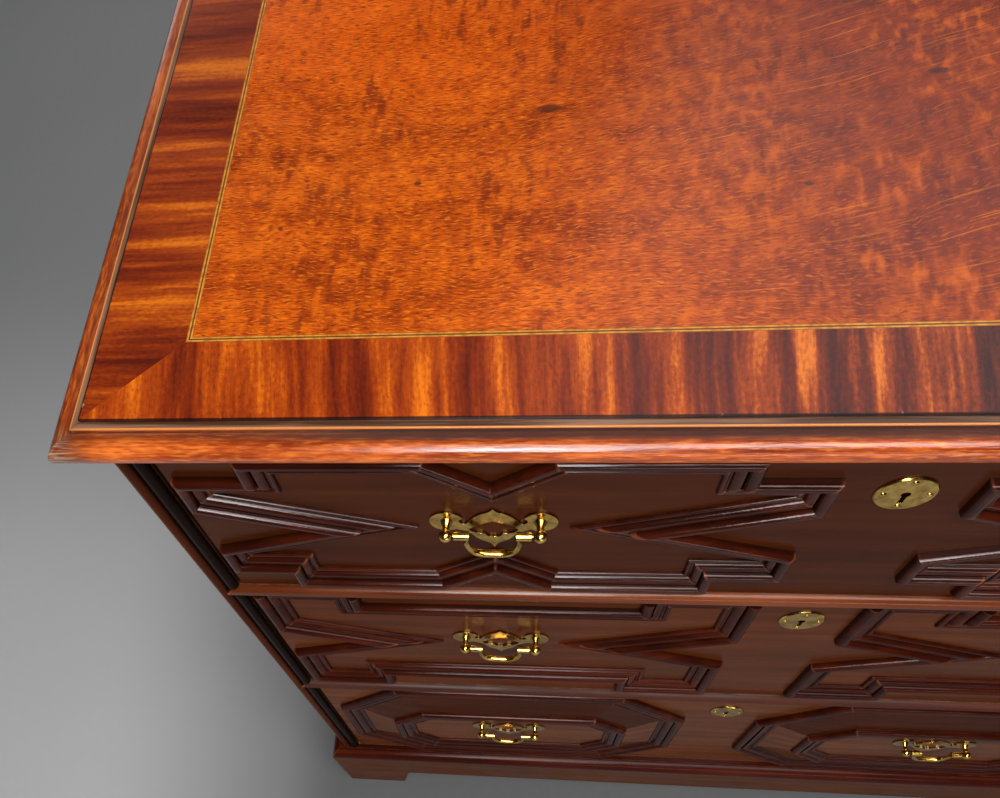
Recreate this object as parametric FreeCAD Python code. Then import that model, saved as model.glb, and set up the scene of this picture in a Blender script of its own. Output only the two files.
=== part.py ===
import FreeCAD, Part
import math
import os
from FreeCAD import Vector

# Chest of three drawers. Sizes are in millimetres and angles in degrees.
# X runs to the right, Y to the back and Z up. While building, Y is 0 at the front of the case sides.

# Case
CASE_WIDTH = 930.0
CASE_DEPTH = 520.0
SIDE_THICK = 20.0
CASE_BOTTOM_THICK = 16.0
RAIL_THICK = 14.0
RAIL_DEPTH = 60.0
RAIL_HOUSING = 6.0
TOP_RAIL_THICK = 10.0
RUNNER_WIDTH = 20.0
BACK_THICK = 10.0
BACK_INSET = 4.0
BACK_BOARD_COUNT = 4
BACK_BOARD_GAP = 1.0
STOP_LENGTH = 40.0
STOP_DEPTH = 12.0
STOP_HEIGHT = 5.0
STOP_SPACING = 400.0
STOP_GAP = 0.3

# Plinth, feet and base moulding
PLINTH_HEIGHT = 140.0
PLINTH_THICK = 18.0
FOOT_WIDTH = 84.0
FOOT_SLANT = 14.0
FOOT_CUT_HEIGHT = 65.0
FOOT_BLOCK_SIZE = 50.0
SIDE_FOOT_CLEAR = 5.0
BASE_MOULD_HEIGHT = 18.0
BASE_FILLET_WIDTH = 6.5
BASE_FILLET_DROP = 3.0
BASE_LIP_HEIGHT = 3.0

# Top
TOP_BOARD_THICK = 18.0
TOP_OVERHANG = 2.0
VENEER_THICK = 2.0
CROSSBAND_WIDTH = 53.5
STRING_WIDTHS = (1.4, 1.0, 1.4)
EDGE_MOULD_REACH = 19.0
EDGE_FILLET_WIDTH = 5.0
EDGE_STEP_DEPTH = 2.5
EDGE_QUIRK_WIDTH = 1.0
EDGE_QUIRK_DEPTH = 0.6

# Beads on the case front
STILE_BEAD_BASE = 1.5
STILE_BEAD_FLAT = 2.0
RAIL_BEAD_POINT_INSET = 9.0

# Drawers, from the top one down
DRAWER_HEIGHTS = (187.0, 228.0, 268.0)
DRAWER_GAP = 1.0
DRAWER_RUN_GAP = 0.3
DRAWER_SIDE_GAP = 3.0
DRAWER_BACK_GAP = 21.0
FRONT_THICK = 22.0
DRAWER_SIDE_THICK = 12.0
DRAWER_SIDE_DROP = 3.0
DRAWER_BACK_THICK = 10.0
DRAWER_BACK_DROP = 6.0
DRAWER_BOTTOM_THICK = 8.0
DRAWER_BOTTOM_RAISE = 9.0
GROOVE_DEPTH = 6.0

# Applied mouldings on the drawer fronts
PANEL_GAP = 76.0
PANEL_END_MARGINS = (4.0, 4.0, 11.0)
PANEL_LIFTS = (-1.0, 9.0, 0.0)
PANEL_SINKS = (3.0, 2.0, 0.0)
BAND_RISE = 7.0
EDGE_MARGIN = 1.0

# Moulding section from its outer edge inward, as parts of the band's width and of its rise
BAND_EDGE_PART = 0.22
BAND_WALL_PART = 0.45
TORUS_PART = 0.40
QUIRK_PART = 0.05
FILLET_PART = 0.05
FILLET_TOP_PART = 0.72
OVOLO_PART = 0.26
BEAD_PART = 0.18
BEAD_TOP_PART = 0.45

# Top drawer panel: pointed sides, stepped corners, chevrons
STEPPED_BAND = 20.0
STEPPED_POINT = 50.0
STEPPED_POINT_ANGLE = 18.0
STEPPED_LOW = 86.0
STEPPED_CORNER = 63.5
STEPPED_CORNER_WIDTH = 46.0
CHEVRON_RISE = 28.0
CHEVRON_ANGLE = 36.0

# Middle drawer panel: pointed sides, middle set in from the corners
WAISTED_BAND = 24.0
WAISTED_POINT = 52.0
WAISTED_POINT_ANGLE = 20.5
WAISTED_MIDDLE = 86.0
WAISTED_CORNER = 114.0
WAISTED_CORNER_WIDTH = 88.0

# Bottom drawer panel: octagon with a raised bevelled block
OCTAGON_BAND = 26.0
OCTAGON_MARGIN = 3.0
OCTAGON_CUT = 74.0
BLOCK_BEVEL_RUN = 35.0
BLOCK_EDGE = 2.0
BLOCK_RISE = 9.0
FIELD_BAND = 24.0
FIELD_BAND_RISE = 6.0

# Handles
POST_SPACING = 62.0
POST_LIFTS = (7.0, 12.0, 24.0)
POST_SHANK_RADIUS = 2.6
POST_HOLE_CLEAR = 0.2
POST_FLARE_RADIUS = 4.4
POST_FLARE_HEIGHT = 3.5
POST_REACH = 12.0
POST_TAIL = 7.0
BALL_RADIUS = 4.7
PLATE_THICK = 1.6
PLATE_DISC_RADIUS = 11.5
PLATE_PEAK = 16.5
PLATE_DROP = 35.5
ARCH_JOIN_ANGLE = 160.0
SWAG_JOIN_ANGLE = 240.0
NUT_SIZE = 13.0
NUT_THICK = 4.5
NUT_CLEAR = 0.05
PIN_RADIUS = 1.3
PIN_CLEAR = 0.05
PIN_LENGTH = 4.5
PIN_END_GAP = 0.5
BOSS_RADIUS = 3.2
BOSS_LENGTH = 10.0
BOSS_GAP = 0.8
BAIL_DROP = 25.0
BAIL_RADIUS = 2.2
BAIL_SWELL = 0.6
BAIL_CURVE_PART = 0.6
BAIL_STATIONS = 17

# Backplate curves from the middle outward: first as parts of half the post spacing,
# second as parts of the peak height for an arch and of the pendant drop for a swag
ARCH_TOP_PARTS = ((0.10, 0.76), (0.23, 0.64), (0.42, 0.33), (0.56, -0.12))
ARCH_DIP_PART = (0.62, -0.16)
SWAG_BOTTOM_PARTS = ((0.06, 0.86), (0.17, 0.76), (0.30, 0.68), (0.45, 0.50))
SWAG_NECK_PART = (0.60, 0.36)
OPENING_ARCH_PARTS = ((0.0, 0.06), (0.20, -0.10))
OPENING_SWAG_PARTS = ((0.0, 0.56), (0.10, 0.55), (0.19, 0.43), (0.42, 0.40), (0.54, 0.28))

# Locks and escutcheons
ESCUTCHEON_DROPS = (46.0, 34.0, 46.0)
ESCUTCHEON_RADIUS = 17.0
ESCUTCHEON_THICK = 1.6
ESCUTCHEON_CHAMFER = 0.8
ESCUTCHEON_PIN_COUNT = 4
ESCUTCHEON_PIN_CIRCLE = 12.5
ESCUTCHEON_PIN_RADIUS = 0.9
ESCUTCHEON_HEAD_RADIUS = 2.2
ESCUTCHEON_HEAD_THICK = 1.2
ESCUTCHEON_PIN_DEPTH = 6.0
KEYHOLE_RADIUS = 2.6
KEYHOLE_SLOT_WIDTH = 3.0
KEYHOLE_SLOT_DROP = 9.0
LOCK_WIDTH = 70.0
LOCK_HEIGHT = 56.0
LOCK_THICK = 12.0
LOCK_TOP_DROP = 2.0
BOLT_WIDTH = 30.0
BOLT_THICK = 6.0
BOLT_LENGTH = 29.0
BOLT_CLEAR = 0.3
BOLT_TRAVEL = 8.0
MORTISE_CLEAR = 2.0

# Heights and positions that follow from the sizes above
HALF_WIDTH = CASE_WIDTH / 2
INNER_HALF = HALF_WIDTH - SIDE_THICK
DRAWER_HALF = INNER_HALF - DRAWER_SIDE_GAP
DRAWER_INNER_HALF = DRAWER_HALF - DRAWER_SIDE_THICK
BACK_FACE = CASE_DEPTH - BACK_INSET - BACK_THICK
DRAWER_LENGTH = BACK_FACE - DRAWER_BACK_GAP
CASE_FLOOR = PLINTH_HEIGHT + BASE_MOULD_HEIGHT
LOWER_RAIL = CASE_FLOOR + DRAWER_GAP + DRAWER_HEIGHTS[2] + DRAWER_GAP
UPPER_RAIL = LOWER_RAIL + RAIL_THICK + DRAWER_GAP + DRAWER_HEIGHTS[1] + DRAWER_GAP
TOP_RAIL = UPPER_RAIL + RAIL_THICK + DRAWER_GAP + DRAWER_HEIGHTS[0] + DRAWER_GAP
UNDER_TOP = TOP_RAIL + TOP_RAIL_THICK
VENEER_FLOOR = UNDER_TOP + TOP_BOARD_THICK
DRAWER_FLOORS = (UPPER_RAIL + RAIL_THICK, LOWER_RAIL + RAIL_THICK, CASE_FLOOR)
TOP_HALF = HALF_WIDTH + TOP_OVERHANG
FRONT_REACH = max(BLOCK_RISE + POST_REACH + BALL_RADIUS, TOP_OVERHANG + EDGE_MOULD_REACH, PLINTH_THICK)
CENTRE_SHIFT = (FRONT_REACH - CASE_DEPTH) / 2
SPILL = 1.0


def box(x_low, x_high, y_low, y_high, z_low, z_high):
    size = (x_high - x_low, y_high - y_low, z_high - z_low)
    return Part.makeBox(*size, Vector(x_low, y_low, z_low))


def mirrored(shape):
    return shape.mirror(Vector(0, 0, 0), Vector(1, 0, 0))


def both_sides(shape):
    return [shape, mirrored(shape)]


def save(name, solids):
    group = Part.makeCompound(solids) if len(solids) > 1 else solids[0]
    group.translated(Vector(0, CENTRE_SHIFT, 0)).exportStep("parts/" + name + ".step")


def save_both_sides(name, shape):
    save(name + "_right", [shape])
    save(name + "_left", [mirrored(shape)])


def flat_prism(points, y_base, rise):
    # Outline of (x, z) points standing on the plane y_base and rising to the front
    corners = [Vector(x, y_base, z) for x, z in points]
    return Part.Face(Part.makePolygon(corners + corners[:1])).extrude(Vector(0, -rise, 0))


def level_prism(points, z_base, height):
    # Outline of (x, y) points lying at z_base
    corners = [Vector(x, y, z_base) for x, y in points]
    return Part.Face(Part.makePolygon(corners + corners[:1])).extrude(Vector(0, 0, height))


def cylinder_x(radius, x_low, x_high, y, z):
    return Part.makeCylinder(radius, x_high - x_low, Vector(x_low, y, z), Vector(1, 0, 0))


def cylinder_y(radius, x, y_low, y_high, z):
    return Part.makeCylinder(radius, y_high - y_low, Vector(x, y_low, z), Vector(0, 1, 0))


def drawer_bottom_edge(n):
    return DRAWER_FLOORS[n] + DRAWER_GAP


def drawer_top_edge(n):
    return drawer_bottom_edge(n) + DRAWER_HEIGHTS[n]


def panel_middle(n):
    # Height of the middle of the moulded panels, which may sit high on the drawer front
    return drawer_bottom_edge(n) + DRAWER_HEIGHTS[n] / 2 + PANEL_LIFTS[n]


def panel_half_width(n):
    return (DRAWER_HALF - PANEL_END_MARGINS[n] - PANEL_GAP / 2) / 2


def panel_centres(n):
    centre = PANEL_GAP / 2 + panel_half_width(n)
    return (-centre, centre)


def handle_base(n):
    # Handles stand on the sunk fields, and on the raised blocks of the bottom drawer
    return BLOCK_RISE if n == 2 else -PANEL_SINKS[n]


def profile_face(corner, across, outward, steps):
    # Closed profile from steps of one point (a line) or two points (an arc through the first to the second)
    def place(point):
        return corner + across * point[0] + outward * point[1]

    edges = []
    start = steps[0][0]
    for step in steps[1:]:
        if len(step) == 1:
            edges.append(Part.makeLine(place(start), place(step[0])))
        else:
            edges.append(Part.Arc(place(start), place(step[0]), place(step[1])).toShape())
        start = step[-1]
    edges.append(Part.makeLine(place(start), place(steps[0][0])))
    return Part.Face(Part.Wire(edges))


# Three-sided mouldings round the top and the plinth

def three_sided(face_steps, half_width, front, z_base):
    # Front length and two side lengths, mitred at the front corners; the profile's first axis points outward
    reach = max(point[0] for step in face_steps for point in step)
    up = Vector(0, 0, 1)
    front_bar = profile_face(
        Vector(-half_width - reach, front, z_base), Vector(0, -1, 0), up, face_steps
    ).extrude(Vector(2 * (half_width + reach), 0, 0))
    side_bar = profile_face(
        Vector(half_width, front - reach, z_base), Vector(1, 0, 0), up, face_steps
    ).extrude(Vector(0, CASE_DEPTH - front + reach, 0))
    height = front_bar.BoundBox.ZLength + 2 * SPILL
    inner = [(-half_width, front), (half_width, front)]
    outer = [(half_width + reach, front - reach), (-half_width - reach, front - reach)]
    front_zone = level_prism(inner + outer, z_base - SPILL, height)
    side_zone = level_prism(
        [inner[1], outer[0], (half_width + reach, CASE_DEPTH), (half_width, CASE_DEPTH)],
        z_base - SPILL, height)
    return [front_bar.common(front_zone)] + both_sides(side_bar.common(side_zone))


def top_edge_moulding():
    nose_top = TOP_BOARD_THICK - EDGE_STEP_DEPTH
    quirk_floor = nose_top - EDGE_QUIRK_DEPTH
    nose_radius = nose_top / 2
    nose_start = EDGE_MOULD_REACH - nose_radius
    quirk = EDGE_FILLET_WIDTH + EDGE_QUIRK_WIDTH
    steps = [
        [(0, 0)], [(0, TOP_BOARD_THICK)], [(EDGE_FILLET_WIDTH, TOP_BOARD_THICK)],
        [(EDGE_FILLET_WIDTH, quirk_floor)], [(quirk, quirk_floor)],
        [(quirk, nose_top)], [(nose_start, nose_top)],
        [(EDGE_MOULD_REACH, nose_radius), (nose_start, 0)],
    ]
    return three_sided(steps, TOP_HALF, -TOP_OVERHANG, UNDER_TOP)


def base_moulding():
    shoulder = BASE_MOULD_HEIGHT - BASE_FILLET_DROP
    round_width = PLINTH_THICK - BASE_FILLET_WIDTH
    round_height = shoulder - BASE_LIP_HEIGHT
    round_middle = (BASE_FILLET_WIDTH + round_width * math.sin(math.pi / 4),
                    BASE_LIP_HEIGHT + round_height * math.sin(math.pi / 4))
    steps = [
        [(0, 0)], [(0, BASE_MOULD_HEIGHT)], [(BASE_FILLET_WIDTH, BASE_MOULD_HEIGHT)],
        [(BASE_FILLET_WIDTH, shoulder)],
        [round_middle, (PLINTH_THICK, BASE_LIP_HEIGHT)], [(PLINTH_THICK, 0)],
    ]
    return three_sided(steps, HALF_WIDTH, 0.0, PLINTH_HEIGHT)


def plinth():
    board = [[(0, 0)], [(0, PLINTH_HEIGHT)], [(PLINTH_THICK, PLINTH_HEIGHT)], [(PLINTH_THICK, 0)]]
    front, right, left = three_sided(board, HALF_WIDTH, 0.0, 0.0)
    outer_half = HALF_WIDTH + PLINTH_THICK
    foot = outer_half - FOOT_WIDTH
    slant = foot - FOOT_SLANT
    front_cut = flat_prism(
        [(-foot, -SPILL), (foot, -SPILL), (foot, 0), (slant, FOOT_CUT_HEIGHT),
         (-slant, FOOT_CUT_HEIGHT), (-foot, 0)], SPILL, PLINTH_THICK + 2 * SPILL)
    near, far = FOOT_WIDTH - PLINTH_THICK, CASE_DEPTH - FOOT_WIDTH
    side_points = [(near, -SPILL), (far, -SPILL), (far, 0), (far - FOOT_SLANT, FOOT_CUT_HEIGHT),
                   (near + FOOT_SLANT, FOOT_CUT_HEIGHT), (near, 0)]
    corners = [Vector(HALF_WIDTH - SPILL, y, z) for y, z in side_points]
    side_cut = Part.Face(Part.makePolygon(corners + corners[:1])).extrude(
        Vector(PLINTH_THICK + 2 * SPILL, 0, 0))
    return [front.cut(front_cut), right.cut(side_cut), left.cut(mirrored(side_cut))]


def foot_blocks():
    height = CASE_FLOOR - CASE_BOTTOM_THICK
    inner = INNER_HALF - FOOT_BLOCK_SIZE
    front = box(inner, INNER_HALF, 0, FOOT_BLOCK_SIZE, 0, height)
    back = box(inner, INNER_HALF, BACK_FACE - FOOT_BLOCK_SIZE, BACK_FACE, 0, height)
    return both_sides(front) + both_sides(back)


# Case

def rail_solid(z_low, thick, y_low, y_high):
    half = INNER_HALF + RAIL_HOUSING
    return box(-half, half, y_low, y_high, z_low, z_low + thick)


def bolt_mortise(n):
    # Recess above drawer n for its lock bolt
    front = FRONT_THICK + (LOCK_THICK - BOLT_THICK) / 2
    half = BOLT_WIDTH / 2 + MORTISE_CLEAR
    floor = drawer_top_edge(n) + DRAWER_GAP
    depth = BOLT_TRAVEL + MORTISE_CLEAR - LOCK_TOP_DROP
    return box(-half, half, front - MORTISE_CLEAR, front + BOLT_THICK + MORTISE_CLEAR, floor, floor + depth)


def drawer_rails():
    lower = rail_solid(LOWER_RAIL, RAIL_THICK, 0, RAIL_DEPTH)
    upper = rail_solid(UPPER_RAIL, RAIL_THICK, 0, RAIL_DEPTH)
    return lower, upper


def top_rails():
    front = rail_solid(TOP_RAIL, TOP_RAIL_THICK, 0, RAIL_DEPTH)
    back = rail_solid(TOP_RAIL, TOP_RAIL_THICK, BACK_FACE - RAIL_DEPTH, BACK_FACE)
    return [front, back]


def case_side():
    floor = FOOT_CUT_HEIGHT + SIDE_FOOT_CLEAR
    board = box(INNER_HALF, HALF_WIDTH, 0, CASE_DEPTH, floor, UNDER_TOP)
    for rail in (*drawer_rails(), *top_rails()):
        board = board.cut(rail)
    return board


def case_bottom():
    return box(-INNER_HALF, INNER_HALF, 0, BACK_FACE, CASE_FLOOR - CASE_BOTTOM_THICK, CASE_FLOOR)


def drawer_runners():
    strips = []
    for z_low in (LOWER_RAIL, UPPER_RAIL):
        strip = box(INNER_HALF - RUNNER_WIDTH, INNER_HALF, RAIL_DEPTH, BACK_FACE, z_low, z_low + RAIL_THICK)
        strips += both_sides(strip)
    return strips


def drawer_kickers():
    strip = box(INNER_HALF - RUNNER_WIDTH, INNER_HALF, RAIL_DEPTH, BACK_FACE - RAIL_DEPTH,
                TOP_RAIL, UNDER_TOP)
    return both_sides(strip)


def drawer_stops():
    blocks = []
    front = FRONT_THICK + STOP_GAP
    middle = STOP_SPACING / 2
    for floor in DRAWER_FLOORS:
        block = box(middle - STOP_LENGTH / 2, middle + STOP_LENGTH / 2,
                    front, front + STOP_DEPTH, floor, floor + STOP_HEIGHT)
        blocks += both_sides(block)
    return blocks


def back_boards():
    floor = CASE_FLOOR - CASE_BOTTOM_THICK
    pitch = (UNDER_TOP - floor + BACK_BOARD_GAP) / BACK_BOARD_COUNT
    boards = []
    for index in range(BACK_BOARD_COUNT):
        z_low = floor + index * pitch
        boards.append(box(-INNER_HALF, INNER_HALF, BACK_FACE, BACK_FACE + BACK_THICK,
                          z_low, z_low + pitch - BACK_BOARD_GAP))
    return boards


def bead_zone(z_middle):
    # Hexagonal outline of a rail bead with pointed ends
    radius = RAIL_THICK / 2
    point = HALF_WIDTH - RAIL_BEAD_POINT_INSET
    shoulder = point - radius
    outline = [(-point, z_middle), (-shoulder, z_middle - radius), (shoulder, z_middle - radius),
               (point, z_middle), (shoulder, z_middle + radius), (-shoulder, z_middle + radius)]
    return flat_prism(outline, 0.0, radius)


def rail_middles():
    return (LOWER_RAIL + RAIL_THICK / 2, UPPER_RAIL + RAIL_THICK / 2)


def rail_beads():
    beads = []
    for z_middle in rail_middles():
        rod = cylinder_x(RAIL_THICK / 2, -HALF_WIDTH, HALF_WIDTH, 0.0, z_middle)
        beads.append(rod.common(bead_zone(z_middle)))
    return beads


def stile_bead():
    radius = (SIDE_THICK - STILE_BEAD_FLAT) / 4
    first = 2 * radius
    second = first + STILE_BEAD_FLAT
    top = STILE_BEAD_BASE + radius
    steps = [
        [(0, 0)], [(0, STILE_BEAD_BASE)],
        [(radius, top), (first, STILE_BEAD_BASE)], [(second, STILE_BEAD_BASE)],
        [(second + radius, top), (SIDE_THICK, STILE_BEAD_BASE)], [(SIDE_THICK, 0)],
    ]
    strip = profile_face(
        Vector(INNER_HALF, 0, CASE_FLOOR), Vector(1, 0, 0), Vector(0, -1, 0), steps
    ).extrude(Vector(0, 0, UNDER_TOP - CASE_FLOOR))
    for z_middle in rail_middles():
        strip = strip.cut(bead_zone(z_middle))
    return strip


# Top

def top_board():
    return box(-TOP_HALF, TOP_HALF, -TOP_OVERHANG, CASE_DEPTH, UNDER_TOP, VENEER_FLOOR)


def inset_corners(inset):
    half = TOP_HALF - inset
    front, back = inset - TOP_OVERHANG, CASE_DEPTH - inset
    return [(-half, front), (half, front), (half, back), (-half, back)]


def mitred_frame(inset, width):
    # Four mitred lengths of veneer between two insets from the edge of the top
    outer, inner = inset_corners(inset), inset_corners(inset + width)
    lengths = []
    for first in range(len(outer)):
        second = (first + 1) % len(outer)
        quad = [outer[first], outer[second], inner[second], inner[first]]
        lengths.append(level_prism(quad, VENEER_FLOOR, VENEER_THICK))
    return lengths


def top_stringing():
    lengths = []
    inset = CROSSBAND_WIDTH
    for width in STRING_WIDTHS:
        lengths += mitred_frame(inset, width)
        inset += width
    return lengths


def top_field():
    return level_prism(inset_corners(CROSSBAND_WIDTH + sum(STRING_WIDTHS)), VENEER_FLOOR, VENEER_THICK)


# Drawer boxes

def drawer_sides(n):
    floor = DRAWER_FLOORS[n] + DRAWER_RUN_GAP
    start = FRONT_THICK - DRAWER_SIDE_THICK
    side = box(DRAWER_INNER_HALF, DRAWER_HALF, start, DRAWER_LENGTH,
               floor, drawer_top_edge(n) - DRAWER_SIDE_DROP)
    return both_sides(side.cut(drawer_bottom(n)))


def drawer_bottom(n):
    floor = drawer_bottom_edge(n) + DRAWER_BOTTOM_RAISE
    half = DRAWER_INNER_HALF + GROOVE_DEPTH
    return box(-half, half, FRONT_THICK - GROOVE_DEPTH, DRAWER_LENGTH, floor, floor + DRAWER_BOTTOM_THICK)


def drawer_back(n):
    floor = drawer_bottom_edge(n) + DRAWER_BOTTOM_RAISE + DRAWER_BOTTOM_THICK
    return box(-DRAWER_INNER_HALF, DRAWER_INNER_HALF, DRAWER_LENGTH - DRAWER_BACK_THICK, DRAWER_LENGTH,
               floor, drawer_top_edge(n) - DRAWER_BACK_DROP)


def drawer_front(n):
    board = box(-DRAWER_HALF, DRAWER_HALF, 0, FRONT_THICK, drawer_bottom_edge(n), drawer_top_edge(n))
    cutters = drawer_sides(n) + [drawer_bottom(n), keyhole(n, 0.0, FRONT_THICK)]
    cutters += post_holes(n) + escutcheon_pins(n) + sunk_fields(n)
    for cutter in cutters:
        board = board.cut(cutter)
    return board


# Applied mouldings

def band_steps(width, rise, sink):
    # Moulding section from its outer edge inward: a torus, a fillet running into an ovolo, and a small bead
    edge, fillet_top = BAND_EDGE_PART * rise, FILLET_TOP_PART * rise
    wall = sink + BAND_WALL_PART * rise
    torus, bead = TORUS_PART * width, BEAD_PART * width
    fillet = torus + QUIRK_PART * width
    ovolo = fillet + FILLET_PART * width
    ovolo_run, ovolo_drop = OVOLO_PART * width, fillet_top - edge
    ovolo_middle = (ovolo + ovolo_run * math.sin(math.pi / 4), edge + ovolo_drop * math.sin(math.pi / 4))
    return [
        [(0, 0)], [(0, wall)], [(torus / 2, sink + rise), (torus, wall)], [(torus, edge)],
        [(fillet, edge)], [(fillet, fillet_top)], [(ovolo, fillet_top)],
        [ovolo_middle, (ovolo + ovolo_run, edge)], [(width - bead, edge)],
        [(width - bead / 2, BEAD_TOP_PART * rise), (width, edge)], [(width, 0)],
    ]


def closed_outline(quarter):
    # Whole outline from the quarter that runs from bottom middle to right middle
    half = quarter + [(x, -z) for x, z in reversed(quarter)]
    loop = half + [(-x, -z) for x, z in half]
    return [point for index, point in enumerate(loop) if point != loop[index - 1]]


def mitre_vectors(loop):
    # At each corner, the shift that carries the outline inward by one unit
    inward = []
    for index, (x, z) in enumerate(loop):
        next_x, next_z = loop[(index + 1) % len(loop)]
        length = math.hypot(next_x - x, next_z - z)
        inward.append(Vector((z - next_z) / length, 0, (next_x - x) / length))
    return [(inward[index - 1] + inward[index]) * (1 / (1 + inward[index - 1].dot(inward[index])))
            for index in range(len(loop))]


def mitred_lengths(loop, centre_x, centre_z, ground, sink, width, rise):
    # One solid for each straight length of moulding inside a closed outline,
    # standing in a field sunk below the ground outside it
    base = sink - ground
    corners = [Vector(centre_x + x, base, centre_z + z) for x, z in loop]
    mitres = mitre_vectors(loop)
    outward = Vector(0, -1, 0)
    lengths = []
    for index, start in enumerate(corners):
        following = (index + 1) % len(corners)
        end = corners[following]
        along = (end - start).normalize()
        across = outward.cross(along)
        inner_start = start + mitres[index] * width
        inner_end = end + mitres[following] * width
        before = min(0.0, (inner_start - start).dot(along))
        after = max((end - start).dot(along), (inner_end - start).dot(along))
        section = profile_face(start + along * before, across, outward, band_steps(width, rise, sink))
        quad = [(point.x, point.z) for point in (start, end, inner_end, inner_start)]
        lengths.append(section.extrude(along * (after - before)).common(flat_prism(quad, base, sink + rise)))
    return lengths


def pointed_side(half_width, point, angle, band):
    # Where the outer edge of a pointed side turns: its opening and its tip
    slope = math.radians(angle)
    tip = point + band / math.sin(slope)
    opening = (half_width - tip) * math.tan(slope)
    return [(half_width, -opening), (tip, 0.0)]


def stepped_outline():
    half_width = panel_half_width(0)
    chevron_half = CHEVRON_RISE / math.tan(math.radians(CHEVRON_ANGLE))
    step = half_width - STEPPED_CORNER_WIDTH
    quarter = [(0.0, CHEVRON_RISE - STEPPED_LOW), (chevron_half, -STEPPED_LOW), (step, -STEPPED_LOW),
               (step, -STEPPED_CORNER), (half_width, -STEPPED_CORNER)]
    quarter += pointed_side(half_width, STEPPED_POINT, STEPPED_POINT_ANGLE, STEPPED_BAND)
    return closed_outline(quarter)


def waisted_outline():
    half_width = panel_half_width(1)
    step = half_width - WAISTED_CORNER_WIDTH
    quarter = [(step, -WAISTED_MIDDLE), (step, -WAISTED_CORNER), (half_width, -WAISTED_CORNER)]
    quarter += pointed_side(half_width, WAISTED_POINT, WAISTED_POINT_ANGLE, WAISTED_BAND)
    return closed_outline(quarter)


def octagon_outline(inset):
    half_width = panel_half_width(2) - inset
    half_height = DRAWER_HEIGHTS[2] / 2 - OCTAGON_MARGIN - inset
    cut = OCTAGON_CUT - (2 - math.sqrt(2)) * inset
    return closed_outline([(half_width - cut, -half_height), (half_width, cut - half_height)])


def panel_outline(n):
    if n == 0:
        return stepped_outline()
    if n == 1:
        return waisted_outline()
    return octagon_outline(0.0)


def moulded_zone(n):
    # The part of a drawer front that mouldings and sunk fields keep to
    low, high = drawer_bottom_edge(n) + EDGE_MARGIN, drawer_top_edge(n) - EDGE_MARGIN
    return box(-DRAWER_HALF, DRAWER_HALF, -BLOCK_RISE - BAND_RISE, FRONT_THICK, low, high)


def sunk_fields(n):
    # What is taken out of the front inside each panel's outline
    sink = PANEL_SINKS[n]
    if sink == 0:
        return []
    zone = moulded_zone(n)
    fields = []
    for centre in panel_centres(n):
        outline = [(centre + x, panel_middle(n) + z) for x, z in panel_outline(n)]
        fields.append(flat_prism(outline, sink, sink + SPILL).common(zone))
    return fields


def drawer_mouldings(n):
    bands = (STEPPED_BAND, WAISTED_BAND, OCTAGON_BAND)
    middle = panel_middle(n)
    zone = moulded_zone(n)
    lengths = []
    for centre in panel_centres(n):
        lengths += mitred_lengths(panel_outline(n), centre, middle, 0.0, PANEL_SINKS[n], bands[n], BAND_RISE)
        if n == 2:
            field = octagon_outline(OCTAGON_BAND + BLOCK_BEVEL_RUN)
            lengths += mitred_lengths(field, centre, middle, BLOCK_RISE, 0.0, FIELD_BAND, FIELD_BAND_RISE)
    return [solid for length in lengths for solid in length.common(zone).Solids]


def octagon_wire(inset, centre_x, centre_z, base):
    corners = [Vector(centre_x + x, -base, centre_z + z) for x, z in octagon_outline(inset)]
    return Part.makePolygon(corners + corners[:1])


def drawer_blocks():
    blocks = []
    middle = panel_middle(2)
    for centre in panel_centres(2):
        ground = octagon_wire(OCTAGON_BAND, centre, middle, 0.0)
        edge = octagon_wire(OCTAGON_BAND, centre, middle, BLOCK_EDGE)
        field = octagon_wire(OCTAGON_BAND + BLOCK_BEVEL_RUN, centre, middle, BLOCK_RISE)
        block = Part.makeLoft([ground, edge, field], True, True)
        for hole in post_holes(2):
            block = block.cut(hole)
        blocks.append(block)
    return blocks


# Locks and escutcheons

def keyhole_height(n):
    return drawer_top_edge(n) - ESCUTCHEON_DROPS[n]


def keyhole(n, y_low, y_high):
    z = keyhole_height(n)
    half = KEYHOLE_SLOT_WIDTH / 2
    slot = box(-half, half, y_low - SPILL, y_high + SPILL, z - KEYHOLE_SLOT_DROP, z)
    return cylinder_y(KEYHOLE_RADIUS, 0, y_low - SPILL, y_high + SPILL, z).fuse(slot)


def escutcheon_pins(n):
    z = keyhole_height(n)
    head_face = -ESCUTCHEON_THICK - ESCUTCHEON_HEAD_THICK
    ball_radius = (ESCUTCHEON_HEAD_RADIUS ** 2 + ESCUTCHEON_HEAD_THICK ** 2) / (2 * ESCUTCHEON_HEAD_THICK)
    pins = []
    for turn in range(ESCUTCHEON_PIN_COUNT):
        angle = turn * 2 * math.pi / ESCUTCHEON_PIN_COUNT
        pin_x = ESCUTCHEON_PIN_CIRCLE * math.cos(angle)
        pin_z = z + ESCUTCHEON_PIN_CIRCLE * math.sin(angle)
        shank = cylinder_y(ESCUTCHEON_PIN_RADIUS, pin_x, -ESCUTCHEON_THICK, ESCUTCHEON_PIN_DEPTH, pin_z)
        ball = Part.makeSphere(ball_radius, Vector(pin_x, head_face + ball_radius, pin_z))
        zone = cylinder_y(ESCUTCHEON_HEAD_RADIUS, pin_x, head_face, -ESCUTCHEON_THICK, pin_z)
        pins.append(shank.fuse(ball.common(zone)))
    return pins


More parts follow.
